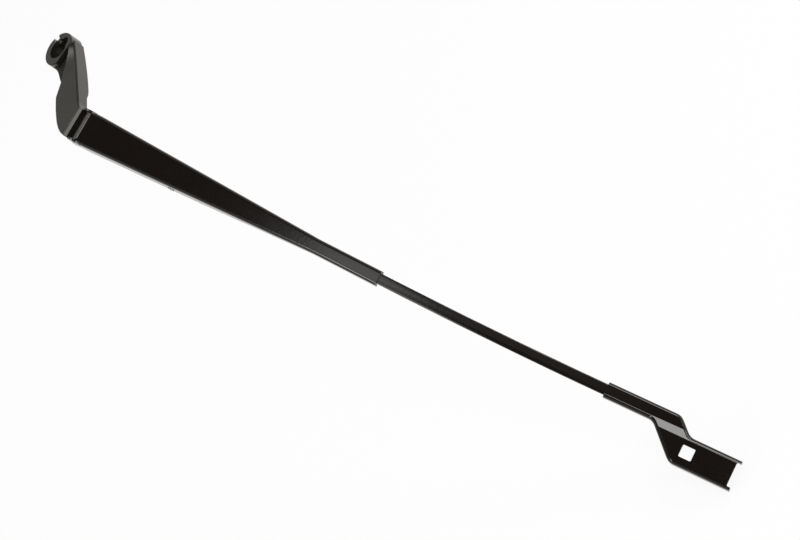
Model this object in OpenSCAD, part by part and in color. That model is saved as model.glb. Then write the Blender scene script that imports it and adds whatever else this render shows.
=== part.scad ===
// Front wiper arm, off the car: a cast head for the spindle, a sprung pressed
// retainer on a hinge, a flat rod and a joggled blade connector. Millimetres.
// The origin is on the spindle's axis, at the seat of its nut. +Z is up along
// the spindle, +X runs from the hinge towards the blade, and the hinge pin lies
// along Y. The arm hangs in its relaxed position, against its lower stop.

/* [Spindle boss] */
// Outer diameter of the boss
boss_d = 29.6; // [27:0.2:33]
// Height of the rim above the nut's seat
rim_h = 7; // [6:0.5:9]
// Depth of the inner hub below the nut's seat
boss_drop = 8.4; // [8:0.2:10]
// Diameter of the inner hub
hub_d = 18; // [16:0.5:20]
// Depth of the boss's outer wall below the nut's seat
wall_drop = 5.2; // [4.4:0.2:7]
// Diameter of the nut's recess
recess_d = 17.6; // [16:0.2:19]
// Diameter of the cylindrical bore under the nut
bore_d = 8.4; // [7:0.2:10]
// Length of the cylindrical bore
bore_len = 3.6; // [3:0.2:5]
// Mouth diameter of the taper that the spindle's cone seats in
taper_d = 10.6; // [10.4:0.2:13]
// Distance from the axis to the flat wall that faces the hinge
chord_x = 10.2; // [10:0.1:12]
// Angle by which that flat wall is turned towards the hinge
chord_turn = 8.7; // [4:0.1:12]
// Width of the notch through the rim
notch_w = 5.4; // [3:0.2:7]
// Depth of the notch and of the cap's clip pocket
notch_drop = 3.4; // [2:0.2:5]
// Diameter of the clip pocket beside the recess
clip_d = 8.4; // [7:0.2:9]

/* [Head casting] */
// Distance from the spindle's axis to the hinge pin along X
hinge_x = 70.7; // [64:0.5:80]
// Distance from the spindle's axis to the hinge's middle across, towards -Y
hinge_y = 48.9; // [44:0.5:54]
// Depth of the hinge pin below the nut's seat
hinge_drop = 7.4; // [6:0.2:9]
// Distance of the long upright flank from the spindle's axis
flank_off = 15.7; // [15:0.1:17]
// Place along X of the waist's corner, where the pocket beside the boss ends
waist_x = 21.2; // [20:0.1:24]
// Place of the waist's corner across, towards -Y
waist_y = 23.9; // [21:0.1:25]
// Place along X of the elbow, where the outer edge turns to the hinge
elbow_x = 25; // [25:0.1:30]
// Place of the elbow across, towards -Y
elbow_y = 36.7; // [34:0.1:38]
// Place across of the point where the leg's edge leaves the boss
apex_y = 5.1; // [3:0.1:7]
// Height of the pocket's floor above the nut's seat, beside the boss
ledge_top = 3.2; // [2:0.1:4.4]
// Depth of the pocket's floor below the nut's seat, beside the leg
ledge_drop = 4; // [3:0.2:4.6]
// Drop of the ridge from the rim to the hinge's shoulder
ridge_drop = 6.4; // [4:0.2:7]
// Depth of the flank's lower edge below the nut's seat at its deepest
skirt_drop = 10.7; // [9:0.1:12]
// Depth of the casting's lower edge below the nut's seat at the hinge
edge_drop = 9; // [8:0.2:12]
// Radius of the rounded shoulder in front of the hinge
shoulder_r = 2.4; // [1:0.1:3]
// Wall of the hollow casting
cast_wall = 2.8; // [2:0.1:3.5]
// Thickness of the ribs in the hollow
rib_t = 2; // [1.5:0.1:3]
// Radius of the long ridge
ridge_r = 1.8; // [1:0.1:3]

/* [Hinge] */
// Angle of the retainer below the head's plane, on its stop
arm_drop = 30; // [10:1:40]
// Full swing of the retainer from its stop to fully raised
raise_swing = 115; // [90:1:120]
// Diameter of the hinge pin
pin_d = 5.6; // [5:0.1:6]
// Running clearance of a pin in its bore, on the radius
run_gap = 0.05; // [0.02:0.01:0.1]
// Thickness of a thrust washer
washer_t = 0.8; // [0.5:0.1:1.2]
// Outer diameter of a thrust washer
washer_d = 10.4; // [9:0.1:10.8]
// Gap on each face of a thrust washer
washer_gap = 0.1; // [0.05:0.01:0.2]
// Gap between the stop and the retainer's top sheet
stop_gap = 0.3; // [0.1:0.05:0.4]
// Outer radius of the barrel round the hinge pin
barrel_r = 4.9; // [4.6:0.1:5.6]
// Length of the tongue's nose beyond the hinge pin
nose_reach = 13; // [9:0.5:15]
// Width of the slot for the hook link
slot_w = 5; // [4.5:0.1:7]
// Width between the prongs of the nose
fork_w = 8.6; // [8.2:0.1:12]

/* [Retainer] */
// Length from the hinge pin to the end of the nose
ret_len = 265; // [240:1:290]
// Outer width at the hinge
root_w = 27.2; // [26.6:0.2:29]
// Length of the parallel nose that grips the rod
grip_len = 53; // [45:1:60]
// Distance from the hinge pin at which the sides begin to get lower
deep_len = 96; // [92:1:110]
// Height of the top sheet's upper face above the hinge pin
pin_depth = 8; // [8:0.1:9]
// Thickness of the retainer's sheet
sheet = 1.6; // [1.2:0.1:1.8]
// Outer radius of the long bends at the hinge
bend_r = 3.4; // [2.5:0.1:4]
// Inner radius of the bends round the rod
grip_r = 1; // [0.8:0.1:1.2]
// Length over which the top sheet's start is rounded down
start_l = 2.8; // [1.4:0.1:3]
// Distance from the hinge pin to the start of the top sheet
top_start = 0.2; // [0.2:0.1:1.4]
// Width of the lips that are folded in under the rod
lip_w = 2.6; // [1.8:0.1:3]

/* [Rod] */
// Width of the flat rod
rod_w = 8; // [7:0.1:9]
// Thickness of the flat rod
rod_t = 3; // [2.5:0.1:4]
// Free length between the retainer and the connector
rod_free = 181; // [150:1:220]
// Sideways turn of the free length
rod_bow = 2.2; // [0.5:0.1:4]
// Radius of the rod's long edges
rod_r = 1; // [0.9:0.1:1.3]
// Gap between the rod and the sheets that grip it
grip_gap = 0.1; // [0.05:0.01:0.2]

/* [Connector] */
// Thickness of the connector's sheet
conn_t = 1.6; // [1.2:0.1:1.8]
// Length of the narrow part on its short side
neck_len = 37; // [30:0.5:42]
// Outer width of the wide part
seat_w = 21.6; // [20:0.1:24]
// Length of the whole connector, to the floor's end
conn_len = 100; // [94:1:112]
// Height of the wide part's sides
seat_h = 9; // [7:0.2:11]
// Step up from the narrow floor to the wide floor
floor_step = 1.8; // [0.8:0.1:2.4]
// Run across of the ramp between the floors
ramp_run = 5.8; // [4:0.1:6.4]
// Run along of each slanted side, for each millimetre across
slant = 1.02; // [0.9:0.01:1.3]
// Outer radius of the connector's bends
conn_r = 2.4; // [2:0.1:2.8]
// Length of the window for the blade's button
window_l = 9; // [6:0.1:10]
// Width of the window
window_w = 8.6; // [6:0.1:10]
// Distance from the connector's start to the middle of the window
window_x = 67.5; // [67:0.5:80]
// Radius of the window's corners
window_r = 0.8; // [0.4:0.1:1.5]
// Length by which the sides reach past the floor
side_past = 2.8; // [1.5:0.1:4]
// Radius of the corners where the floor is cut back
cut_r = 1; // [0.6:0.1:2]

/* [Spring] */
// Distance from the hinge pin to the link pin
link_r = 5.6; // [5.4:0.1:5.8]
// Diameter of the link pin
link_pin_d = 3.4; // [3:0.1:3.6]
// Thickness of the hook link
link_t = 3; // [2.5:0.1:3.5]
// Distance from the hinge pin to the anchor pin, along the retainer
anchor_x = 85; // [80:1:88]
// Drop of the anchor pin below the hinge pin
anchor_drop = 4; // [3:0.1:4.5]
// Diameter of the anchor pin
anchor_d = 4; // [3:0.1:4.4]
// Diameter of the spring's wire
wire_d = 1.8; // [1.5:0.1:2]
// Outer diameter of the coil
coil_d = 8.2; // [7.6:0.1:8.6]
// Pitch of the coil's turns
coil_pitch = 1.96; // [1.94:0.01:2.2]

/* [Hidden] */
eps = 0.01;

// Boss: rounding of the rim, chamfer at its foot, places of the clip pocket and the notch
rim_r = 1;
foot_cut = 0.8;
clip_at = 68;
clip_out = 1.4;
notch_at = 142;

// Plan of the head: the flank runs at 45 degrees from the boss to the hinge
leg = [cos(45), -sin(45)];
side = [cos(45), sin(45)];
clear_r = pin_depth + 0.5;
shoulder_x = hinge_x - clear_r;
ear_in = root_w / 2 - sheet;
tongue_w = 2 * (ear_in - washer_t - 2 * washer_gap);
head_half = root_w / 2 - 1.1;
tongue_r = pin_depth - sheet - stop_gap;
shoulder_from = shoulder_x - shoulder_r;
flank_lead = 5;
flank_to = shoulder_from * leg[0] + (hinge_y - head_half) * -leg[1] - flank_lead;
apex = [chord_x + 0.5, apex_y];
waist = [waist_x, -waist_y];
elbow = [elbow_x, -elbow_y];
// Outer edge from the elbow to the hinge: how far it runs straight on at each end
elbow_out = [7.7, -9.6];
hinge_in = [14, -0.8];
// Sections of the leg that stand at its corners, and where the flank's turn starts
at_waist = 8;
at_elbow = 11;
at_hinge = 18;
turn_from = 15.5;
// Fall of the leg's top: where it starts before the axis, and how early it falls
fall_lead = 6;
fall_power = 0.6;
// Rise of the outer edge above that towards the boss
rise_h = 1.7;
rise_power = 1.5;
// Lower edge: where it is deepest, how it gets there, and the step up that follows
deepest_at = 0.72;
deep_power = 1.6;
step_from = 2;
step_run = 5;
// Radius of the leg's outer upper edge
edge_r = 1.4;
// Pocket's floor: its open edge in plan from the boss to the leg, and its slope
floor_from = [2, -boss_d / 2 + 0.2];
floor_out = [7.5, -0.6];
floor_to = waist - [7.4, -1.2];
floor_in = [4.6, 4.6];
slope_from = chord_x - 2.4;
slope_to = chord_x + 10;
// Sections between which the leg is hollow, those with a rib, and the ribs' direction
hollow_at = [6:15];
rib_at = [9, 12];
rib_turn = 30;
// Tongue, from the hinge pin: depth of the nose, height of the web and of the slot's roof
nose_under = 2.4;
web_top = 0.5;
slot_roof = 2.6;
slot_fall = 1.4;
// Direction from the pin to which the barrel covers the slot
roof_to = 60;
link_pin_len = tongue_w - 6.2;

// Arm: heights above the hinge pin, and where the retainer's taper runs
taper_from = 10;
taper_to = ret_len - grip_len;
start_h = sheet - 0.3;
rod_top = pin_depth - sheet - grip_gap;
rod_bottom = rod_top - rod_t;
grip_w = rod_w + 2 * grip_gap;
nose_w = grip_w + 2 * sheet;
nose_h = 2 * sheet + rod_t + 2 * grip_gap;
root_h = 2 * pin_depth;
bow_r = rod_free / (rod_bow * PI / 180);

// Connector: heights in its own frame, the same as the arm's
neck_w = grip_w + 2 * conn_t;
neck_top = rod_top + grip_gap + conn_t;
seat_top = neck_top + floor_step;
seat_mid = -neck_w / 2 - seat_w / 2 + 0.3;
// Slants: half length of their rounded ends, and how far the long side's lags behind
slant_w = 3;
high_lag = 6.2;
low_from = neck_len;
low_to = low_from + slant * (-neck_w / 2 - (seat_mid - seat_w / 2));
high_step = neck_w / 2 - (seat_mid + seat_w / 2);
high_from = low_to - slant * high_step + high_lag;
high_to = high_from + slant * high_step;
// Ramp: its two ends, their rounding, and the places across it where a section has points
ramp_low = seat_mid + seat_w / 2 - conn_r - 0.6;
ramp_high = ramp_low + ramp_run;
ramp_soft = 0.12;
ramp_at = [-0.12, 0, 0.12, 0.5, 0.88, 1, 1.12];
ramp_steps = len(ramp_at);
point_gap = 0.05;
// Lower edges of the sides
neck_foot = neck_top - 2 * conn_t - rod_t - 2 * grip_gap;
seat_foot = seat_top - seat_h;

// Spring line: it passes over the hinge pin half way through the swing
reach = norm([anchor_x, anchor_drop]);
reach_ang = -arm_drop - atan2(anchor_drop, anchor_x);
link_ang = 180 + reach_ang + raise_swing / 2;
link_at = [hinge_x + link_r * cos(link_ang), -hinge_drop + link_r * sin(link_ang)];
anchor_at = [hinge_x + reach * cos(reach_ang), -hinge_drop + reach * sin(reach_ang)];
line = anchor_at - link_at;
line_len = norm(line);
line_ang = atan2(line[1], line[0]);
sweep_ang = reach_ang + raise_swing / 2 - line_ang;
// Hook link, from its pin: the curve round the hinge pin, then the spring's eye
hook_mid = 3.4;
hook_r = link_r + pin_d / 2 + 0.4;
hook_w = 2.6;
wedge_top = 0.2;
eye_x = hook_mid + hook_r + 1.97;
eye_d = wire_d + 1;
eye_wall = 1.3;
slot_back = link_at[0] - (hook_r + hook_w - hook_mid) - 1;
// Coil, from the link pin, and the wire's bends at both its ends
coil_r = (coil_d - wire_d) / 2;
coil_from = eye_x + 14;
coil_to = line_len - anchor_d / 2 - wire_d - 4.6;
turns = floor((coil_to - coil_from) / coil_pitch) + 0.5;
ring_steps = 16;
loop_r = anchor_d / 2 + wire_d / 2 + 0.1;
small_r = 2.9;
small_x = eye_x + small_r + 0.1;

function lerp(a, b, t) = a + (b - a) * t;
function bezier(p, t) = p[0] * pow(1 - t, 3) + p[1] * 3 * t * pow(1 - t, 2)
    + p[2] * 3 * t * t * (1 - t) + p[3] * pow(t, 3);
function ease(t) = t * t * (3 - 2 * t);
// A bend in a line: nothing before it, a slope of one after it, rounded over 2w
function soft(x, w) = x < -w ? 0 : x > w ? x : pow(x + w, 2) / (4 * w);
function arc(c, r, from, to, n) =
    [for (i = [0:n]) c + r * [cos(lerp(from, to, i / n)), sin(lerp(from, to, i / n))]];

// Closed solid through rings that hold the same number of points
module loft(rings) {
    n = len(rings[0]);
    m = len(rings);
    polyhedron(
        points = [for (r = rings) each r],
        faces = concat(
            [for (i = [0:m - 2], j = [0:n - 1])
                [i * n + j, i * n + (j + 1) % n, (i + 1) * n + (j + 1) % n, (i + 1) * n + j]],
            [[for (j = [n - 1:-1:0]) j], [for (j = [0:n - 1]) (m - 1) * n + j]]),
        convexity = 6);
}

// Closed sheet between an outer and an inner grid of the same size
module sheet_loft(outer, inner) {
    m = len(outer);
    n = len(outer[0]);
    rings = [for (i = [0:m - 1]) concat(outer[i], [for (j = [n - 1:-1:0]) inner[i][j]])];
    k = 2 * n;
    polyhedron(
        points = [for (r = rings) each r],
        faces = concat(
            [for (i = [0:m - 2], j = [0:k - 1])
                [i * k + j, i * k + (j + 1) % k, (i + 1) * k + (j + 1) % k, (i + 1) * k + j]],
            [for (j = [0:n - 2]) [j + 1, j, k - 1 - j, k - 2 - j]],
            [for (j = [0:n - 2]) let (b = (m - 1) * k) [b + j, b + j + 1, b + k - 2 - j, b + k - 1 - j]]),
        convexity = 8);
}

module in_arm() {
    translate([hinge_x, -hinge_y, -hinge_drop]) rotate([0, arm_drop, 0]) children();
}

module in_hinge() {
    translate([hinge_x, -hinge_y, -hinge_drop]) children();
}

module in_link() {
    translate([link_at[0], -hinge_y, link_at[1]]) rotate([0, -line_ang, 0]) children();
}

module in_connector() {
    in_arm() translate([ret_len, bow_r, 0]) rotate([0, 0, rod_bow]) translate([0, -bow_r, 0]) children();
}

// A pin along Y, centred, with low domed heads where head_d is given
module cross_pin(d, length, head_d = 0, head_h = 0) {
    rotate([90, 0, 0]) {
        cylinder(d = d, h = length, center = true, $fn = 48);
        if (head_d > 0) for (s = [0, 1]) mirror([0, 0, s]) translate([0, 0, length / 2])
            rotate_extrude($fn = 48) polygon(concat([[0, -eps], [d / 3, -eps], [d / 3, 0]],
                [for (a = [0:15:75]) [head_d / 2 * cos(a), head_h * sin(a)]], [[0, head_h]]));
    }
}

// Head: sections of the leg stand upright between its outer edge and the flank,
// and are counted from 0 at the boss
function along(p) = p * leg;
function leg_left(i) = i < at_waist ? lerp(apex, waist, i / at_waist)
    : i < at_elbow ? lerp(waist, elbow, (i - at_waist) / (at_elbow - at_waist))
    : let (end = [shoulder_from, -hinge_y - head_half])
        bezier([elbow, elbow + elbow_out, end - hinge_in, end], (i - at_elbow) / (at_hinge - at_elbow));
function leg_right(i) = let (
        flank = lerp(0, flank_to, min(i / turn_from, 1)),
        on_flank = leg * flank + side * flank_off,
        corner = [shoulder_from, -hinge_y + head_half])
    i <= turn_from ? on_flank : lerp(on_flank, corner, ease((i - turn_from) / (at_hinge - turn_from)));
// Height of the leg's top: it falls from the rim to the hinge's shoulder
function top_z(p) = let (t = (along(p) + fall_lead) / (flank_to + fall_lead))
    rim_h - ridge_drop * pow(min(1, max(0, t)), fall_power);
// The outer edge starts at the rim's height
function left_z(i) = top_z(leg_left(i)) + rise_h * pow(max(0, 1 - i / at_waist), rise_power);
// Depth of the lower edge: it deepens along the flank and steps up at the hinge
function lower_z(i) = let (
        a = along(leg_right(i)), deepest = flank_to * deepest_at,
        fall = 1 - pow(max(0, 1 - a / deepest), deep_power),
        step = ease(min(1, max(0, (a - deepest - step_from) / step_run))))
    -lerp(lerp(wall_drop, skirt_drop, fall), edge_drop, step);
// One section; inset takes the wall off, roof lowers the top and hollow opens it below
function leg_ring(i, inset = 0, roof = 0, hollow = false) = let (
        l = leg_left(i) + inset * [1.1, 0.9], r = leg_right(i) - inset * side,
        w = norm(r - l), u = (r - l) / w,
        zl = left_z(i) - roof, zr = top_z(leg_right(i)) - roof,
        tilt = atan2(zr - zl, w),
        zb = hollow ? -2 * skirt_drop : lower_z(i),
        left = arc([edge_r, zl - edge_r + edge_r * tan(tilt)], edge_r, 180, 90 + tilt, 4),
        right = arc([w - ridge_r, zr - ridge_r - 0.2], ridge_r, 90 + tilt, 0, 5),
        outline = concat([[0, zb]], left, right, [[w, zb]]))
    [for (q = outline) [l[0] + u[0] * q[0], l[1] + u[1] * q[0], q[1]]];

module leg_shell() {
    difference() {
        loft(concat(
            [for (i = [0:at_hinge]) leg_ring(i)],
            // Rounded shoulder
            [for (a = [22.5:22.5:90]) [for (q = leg_ring(at_hinge, roof = shoulder_r * (1 - cos(a))))
                q + [shoulder_r * sin(a), 0, 0]]]));
        difference() {
            loft([for (i = hollow_at) leg_ring(i, cast_wall, cast_wall, true)]);
            // Ribs left standing across the hollow
            for (i = rib_at) translate(concat(leg_left(i), [-2 * edge_drop])) rotate([0, 0, rib_turn])
                translate([-root_w / 2, -rib_t / 2, 0]) cube([2 * root_w, rib_t, 3 * edge_drop]);
        }
    }
}

// Sloping floor of the pocket between the boss and the leg
module ledge() {
    intersection() {
        translate([0, 0, -wall_drop]) linear_extrude(2 * rim_h) polygon(concat(
            [[0, 0]],
            [for (t = [0:0.125:1]) bezier([floor_from, floor_from + floor_out,
                floor_to + [-floor_in[0], floor_in[1]], floor_to], t)],
            [waist + [1, 0], apex + [2, 0], [0, apex_y]]));
        rotate([0, 0, -chord_turn]) rotate([90, 0, 0]) linear_extrude(4 * boss_d, center = true)
            polygon([[-2, -wall_drop], [-2, ledge_top], [slope_from, ledge_top], [slope_to, -ledge_drop],
                [2 * slope_to, -ledge_drop], [2 * slope_to, -wall_drop]]);
    }
}

module boss() {
    difference() {
        union() {
            rotate_extrude($fn = 96) polygon(concat(
                [[0, -wall_drop], [boss_d / 2 - foot_cut, -wall_drop], [boss_d / 2, foot_cut - wall_drop]],
                arc([boss_d / 2 - rim_r, rim_h - rim_r], rim_r, 0, 90, 6),
                [[0, rim_h]]));
            translate([0, 0, -boss_drop]) cylinder(d = hub_d, h = boss_drop, $fn = 96);
        }
        // Flat wall that faces the hinge
        rotate([0, 0, -chord_turn]) translate([chord_x, -boss_d, -ledge_drop])
            cube([boss_d, 2 * boss_d, 2 * rim_h]);
    }
}

// The tongue's side, with the hinge pin at its origin
module tongue_side() {
    back = clear_r + 6;
    circle(r = barrel_r, $fn = 64);
    // Web back to the casting, under the path of the retainer's top sheet
    translate([-back, -tongue_r]) square([back, tongue_r + web_top]);
    // Nose that the relaxed retainer rests on
    rotate(-arm_drop) translate([0, -nose_under]) square([nose_reach, tongue_r + nose_under]);
}

// Room for the hook link: it is closed above, where the link never comes
module slot_side() {
    back = hinge_x - slot_back;
    difference() {
        translate([-back, -2 * tongue_r]) square([back + 2 * nose_reach, 4 * tongue_r]);
        // Casting above the slot, then the upper part of the barrel
        polygon([[-back, slot_roof], [0.2 - clear_r, slot_roof - slot_fall],
            [0.2 - clear_r, 3 * tongue_r], [-back, 3 * tongue_r]]);
        polygon([[-barrel_r - 0.2, web_top], [0, web_top + 0.1],
            barrel_r * 1.2 * [cos(roof_to), sin(roof_to)], [0, 3 * tongue_r],
            [-barrel_r - 0.2, 3 * tongue_r]]);
    }
}

module head() {
    color([0.2, 0.2, 0.19]) difference() {
        union() {
            boss();
            ledge();
            leg_shell();
            in_hinge() rotate([90, 0, 0]) linear_extrude(tongue_w, center = true) tongue_side();
        }
        // Nut recess, bore and the taper below it
        cylinder(d = recess_d, h = rim_h + 1, $fn = 96);
        translate([0, 0, -bore_len]) cylinder(d = bore_d, h = bore_len + 1, $fn = 64);
        translate([0, 0, -boss_drop - eps])
            cylinder(d1 = taper_d, d2 = bore_d, h = boss_drop - bore_len + eps, $fn = 64);
        // Pocket and notch for the clips of a cap
        rotate([0, 0, clip_at]) translate([recess_d / 2 - clip_out, 0, rim_h - notch_drop])
            cylinder(d = clip_d, h = notch_drop + 1, $fn = 48);
        rotate([0, 0, notch_at]) translate([0, -notch_w / 2, rim_h - notch_drop])
            cube([boss_d, notch_w, notch_drop + 1]);
        // Hinge bore, link pin bore and the slot that the hook link swings in
        in_hinge() cross_pin(pin_d + 2 * run_gap, 2 * root_w);
        translate([link_at[0], -hinge_y, link_at[1]]) cross_pin(link_pin_d + 0.02, link_pin_len + 0.2);
        in_hinge() rotate([90, 0, 0]) linear_extrude(slot_w, center = true) slot_side();
        // Wider gap between the two prongs of the nose, for the spring's end
        in_arm() translate([tongue_r + 0.4, -fork_w / 2, -2 * tongue_r])
            cube([nose_reach, fork_w, 4 * tongue_r]);
    }
}

module hinge_pin() {
    color([0.75, 0.76, 0.77]) in_arm() cross_pin(pin_d, root_w, pin_d + 3, 1);
}

module washer(s) {
    color([0.15, 0.15, 0.15]) in_arm() translate([0, s * (ear_in - washer_gap - washer_t / 2), 0])
        rotate([90, 0, 0]) difference() {
            cylinder(d = washer_d, h = washer_t, center = true, $fn = 64);
            cylinder(d = pin_d + 4 * run_gap, h = 2 * washer_t, center = true, $fn = 48);
        }
}

module link_pin() {
    color([0.75, 0.76, 0.77]) translate([link_at[0], -hinge_y, link_at[1]])
        cross_pin(link_pin_d, link_pin_len);
}

// Flat link: it hooks on the link pin and curves round below the hinge pin
module link_side() {
    difference() {
        union() {
            difference() {
                translate([hook_mid, 0]) circle(r = hook_r + hook_w, $fn = 72);
                translate([hook_mid, 0]) circle(r = hook_r, $fn = 72);
                translate([-2 * hook_r, 0]) square([hook_r * 2 + hook_mid + 2, 3 * hook_r]);
                translate([hook_mid, 1]) square([3 * hook_r, 3 * hook_r]);
            }
            intersection() {
                translate([hook_mid, 0]) circle(r = hook_r + hook_w, $fn = 72);
                translate([hook_mid - hook_r - hook_w, -3])
                    square([hook_r + hook_w - hook_mid, 3 + wedge_top]);
            }
            translate([eye_x, 0]) circle(d = eye_d + 2 * eye_wall, $fn = 48);
            circle(r = link_r - pin_d / 2 - 0.2, $fn = 48);
        }
        // Room for the hinge pin through the whole swing
        for (i = [-5:5]) rotate(i * sweep_ang / 5) translate([link_r, 0]) circle(d = pin_d + 0.5, $fn = 48);
        circle(d = link_pin_d + 2 * run_gap, $fn = 48);
        translate([eye_x, 0]) circle(d = eye_d, $fn = 48);
    }
}

module hook_link() {
    color([0.6, 0.62, 0.64]) in_link() rotate([90, 0, 0]) linear_extrude(link_t, center = true) link_side();
}

// Spring: one wire path, an open hook in the link, the coil, a loop on the anchor pin
function wire_path() = concat(
    // Half turn through the link's eye, lying flat
    [for (a = [110:20:270]) [small_x + small_r * cos(a), small_r * sin(a) * -1, 0]],
    [for (t = [0.25, 0.5, 0.75]) bezier([[small_x, small_r, 0], [small_x + 3, small_r, 0],
        [coil_from - 2.5, coil_r, -2.5], [coil_from, coil_r, 0]], t)],
    [for (i = [0:turns * ring_steps]) let (a = 360 * i / ring_steps)
        [coil_from + coil_pitch * i / ring_steps, coil_r * cos(a), coil_r * sin(a)]],
    [for (t = [0.25, 0.5, 0.75]) let (x = coil_from + coil_pitch * turns)
        bezier([[x, -coil_r, 0], [x + 0.6, -coil_r, -3],
            [x + 2.2, 0, -loop_r], [line_len - 1, 0, -loop_r]], t)],
    [for (a = [270:20:520]) [line_len + loop_r * cos(a), 0, loop_r * sin(a)]]);

function unit(v) = v / norm(v);
module wire(path, d, sides) {
    n = len(path);
    t = [for (i = [0:n - 1]) unit(path[min(i + 1, n - 1)] - path[max(i - 1, 0)])];
    // Each ring's first direction is carried along the wire without a twist
    u = [for (i = 0, v = unit(cross(t[0], [0, 0.3, 1])); i < n; i = i + 1,
            v = i < n ? unit(v - t[i] * (v * t[i])) : v) v];
    loft([for (i = [0:n - 1]) let (w = cross(t[i], u[i]))
        [for (j = [0:sides - 1]) let (a = 360 * j / sides)
            path[i] + d / 2 * (u[i] * cos(a) + w * sin(a))]]);
}

module spring() {
    color([0.55, 0.55, 0.53]) in_link() wire(wire_path(), wire_d, 6);
}

module anchor_pin() {
    // Its heads clear the wider side of the tapering channel
    head_d = anchor_d + 2;
    color([0.75, 0.76, 0.77]) in_arm() translate([anchor_x, 0, -anchor_drop])
        cross_pin(anchor_d, 2 * ret_half(anchor_x - head_d / 2), head_d, 0.8);
}

// Retainer: half width and height at a distance from the hinge pin
function ret_half(x) = lerp(root_w, nose_w, min(1, max(0, (x - taper_from) / (taper_to - taper_from)))) / 2;
function ret_h(x) = lerp(root_h, nose_h, ease(min(1, max(0, (x - deep_len) / (taper_to - deep_len)))));
// Section of the channel, open below; cut takes the sheet's thickness off
function ret_ring(x, cut) = let (
        w = ret_half(x) - cut, top = pin_depth - cut, low = pin_depth - ret_h(x),
        r = lerp(bend_r, sheet + grip_r, min(1, max(0, (x - taper_from) / (taper_to - taper_from)))) - cut,
        path = concat([[-w, low]], arc([-w + r, top - r], r, 180, 90, 6),
            arc([w - r, top - r], r, 90, 0, 6), [[w, low]]))
    [for (q = path) [x, q[0], q[1]]];

// Lip folded in under the rod, along X from 0
module lip(width, length, thick, low) {
    rotate([90, 0, 90]) linear_extrude(length) {
        translate([-width / 2 + thick, low]) square([lip_w - thick / 2, thick]);
        intersection() {
            translate([-width / 2 + thick, low + thick]) circle(r = thick, $fn = 48);
            translate([-width / 2, low]) square(thick + eps);
        }
    }
}

module retainer() {
    xs = concat([0, taper_from], [for (i = [0:8]) lerp(deep_len, taper_to, i / 8)], [ret_len]);
    low = pin_depth - nose_h;
    color([0.07, 0.065, 0.06]) in_arm() difference() {
        union() {
            difference() {
                sheet_loft([for (x = xs) ret_ring(x, 0)], [for (x = xs) ret_ring(x, sheet)]);
                // The top sheet starts over the barrel, with a long round edge
                rotate([90, 0, 0]) linear_extrude(2 * root_w, center = true) {
                    translate([-root_w, 0]) square([root_w + top_start, root_w]);
                    translate([top_start, pin_depth - start_h]) difference() {
                        translate([-eps, 0]) square([start_l + eps, 2 * start_h]);
                        translate([start_l, 0]) scale([start_l, start_h]) circle(r = 1, $fn = 96);
                    }
                }
            }
            // Round ears
            for (s = [-1, 1]) translate([0, s * (root_w / 2 - sheet / 2), 0]) rotate([90, 0, 0])
                cylinder(r = pin_depth, h = sheet, center = true, $fn = 96);
            for (s = [0, 1]) mirror([0, s, 0]) translate([taper_to + 4, 0, 0])
                lip(nose_w, grip_len - 8, sheet, low);
        }
        cross_pin(pin_d + run_gap, 2 * root_w);
        translate([anchor_x, 0, -anchor_drop]) cross_pin(anchor_d + run_gap, 2 * root_w);
    }
}

// Section of the rod with round edges, as points across and up
function rod_section(r = rod_r) = [for (c = [[1, 1], [-1, 1], [-1, 0], [1, 0]], i = [0:3]) let (
        a = (c[0] > 0 ? (c[1] > 0 ? 0 : 270) : (c[1] > 0 ? 90 : 180)) + 30 * i)
    [c[0] * (rod_w / 2 - r) + r * cos(a), rod_bottom + (c[1] > 0 ? rod_t - r : r) + r * sin(a)]];
// A point of the arm at a distance x from the hinge pin, y across and z up
function on_rod(x, y, z) = let (
        turn = rod_bow * min(1, max(0, (x - ret_len) / rod_free)),
        past = max(0, x - ret_len - rod_free), before = min(x - ret_len, 0))
    [ret_len + before + (bow_r - y) * sin(turn) + past * cos(turn),
     bow_r - (bow_r - y) * cos(turn) + past * sin(turn), z];

module rod() {
    rod_from = taper_to + 3;
    rod_to = ret_len + rod_free + neck_len + 8;
    xs = concat([rod_from], [for (i = [0:8]) ret_len + rod_free * i / 8], [rod_to]);
    color([0.07, 0.065, 0.06]) in_arm()
        loft([for (x = xs) [for (q = rod_section()) on_rod(x, q[0], q[1])]]);
}

// Connector: its two edges in plan, and their slopes
function low_edge(x) = -neck_w / 2 - (soft(x - low_from, slant_w) - soft(x - low_to, slant_w)) / slant;
function high_edge(x) = neck_w / 2 - (soft(x - high_from, slant_w) - soft(x - high_to, slant_w)) / slant;
function slope_at(x, from, to) = let (d = 0.2)
    (soft(x + d - from, slant_w) - soft(x + d - to, slant_w)
    - soft(x - d - from, slant_w) + soft(x - d - to, slant_w)) / (2 * d * slant);
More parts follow.
